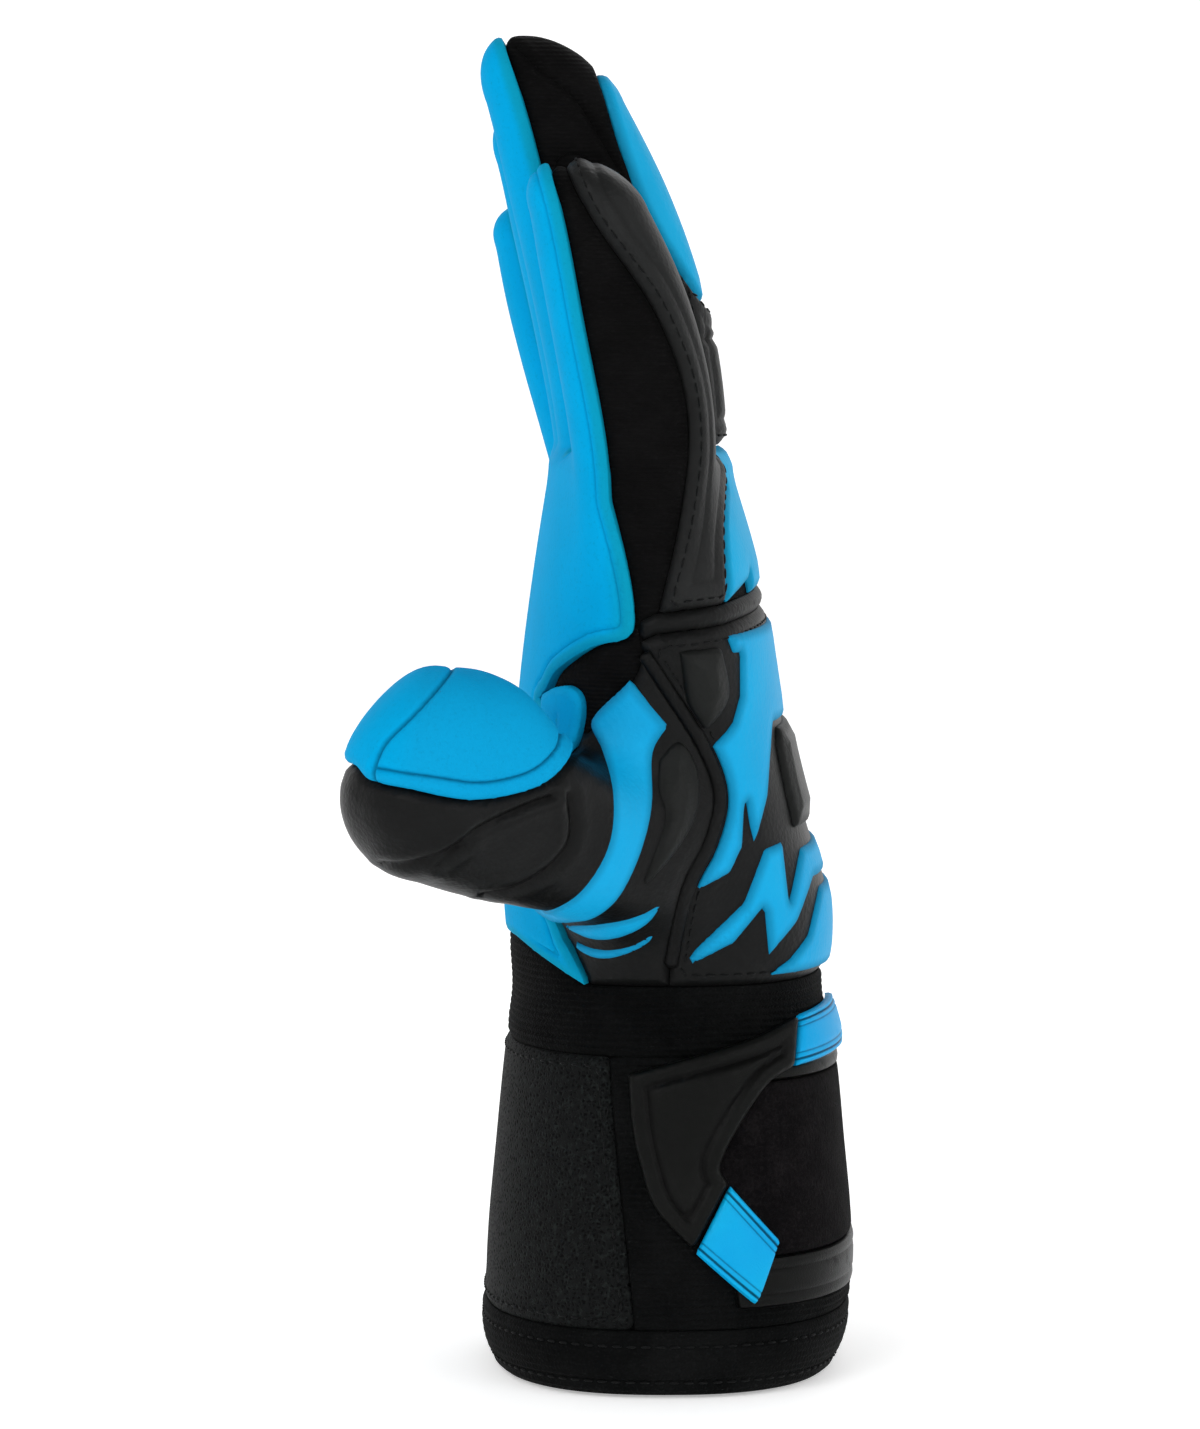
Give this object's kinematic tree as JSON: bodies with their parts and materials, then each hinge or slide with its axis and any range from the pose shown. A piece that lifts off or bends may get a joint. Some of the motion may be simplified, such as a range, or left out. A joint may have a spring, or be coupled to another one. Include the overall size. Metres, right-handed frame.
{
  "type": "goalkeeper glove",
  "caption": "Right-hand goalkeeper glove in its worn shape, with a thick foam palm, padded backhand, elastic cuff and wrap-round wrist strap.",
  "frame": {"origin": "centre of the cuff mouth, where the hand goes in", "axes": "+Z from the cuff mouth to the fingertips, -X the way the palm faces, -Y the thumb side"},
  "size_m": [0.1068, 0.1411, 0.281],
  "materials": {
    "blue_latex": "matt latex foam",
    "blue_pu": "semi-matt coated fabric",
    "black_pu": "semi-gloss coated fabric",
    "black_knit": "matt stretch knit",
    "ribbed_elastic": "ribbed elastic webbing",
    "mesh_knit": "coarse knitted mesh",
    "loop_fabric": "brushed loop fabric",
    "strap_rubber": "satin moulded rubber"
  },
  "bodies": {
    "root": {"cuff_hem": "ribbed_elastic", "cuff_mesh_panel": "mesh_knit", "cuff_elastic_panel": "ribbed_elastic", "wrist_elastic": "ribbed_elastic", "strap_lower_band": "strap_rubber", "wrist_strap": "loop_fabric", "strap_upper_band": "strap_rubber", "strap_tab": "strap_rubber", "strap_accent_lower": "blue_pu", "strap_accent_upper": "blue_pu", "palm_latex": "blue_latex", "thumb_latex": "blue_latex", "web_gusset": "black_knit", "thumb_back": "black_pu", "backhand_panel": "black_pu", "knuckle_band": "black_pu", "index_gusset": "black_knit", "middle_gusset": "black_knit", "ring_gusset": "black_knit", "little_gusset": "black_knit", "index_back_pad": "black_pu", "middle_back_pad": "black_pu", "ring_back_pad": "black_pu", "little_back_pad": "black_pu", "middle_tip_panel": "blue_pu", "ring_tip_panel": "blue_pu", "middle_base_panel": "blue_pu", "ring_base_panel": "blue_pu", "seam_binding": "black_pu", "thumb_arc": "blue_pu", "thumb_lens_pad": "black_pu", "heel_crescent_upper": "blue_pu", "heel_crescent_lower": "blue_pu", "knuckle_pad": "black_pu", "far_knuckle_pad": "black_pu", "flash_upper": "blue_pu", "back_wedge_pad": "black_pu", "flash_lower": "blue_pu", "heel_flash": "blue_pu"}
  },
  "joints": []
}
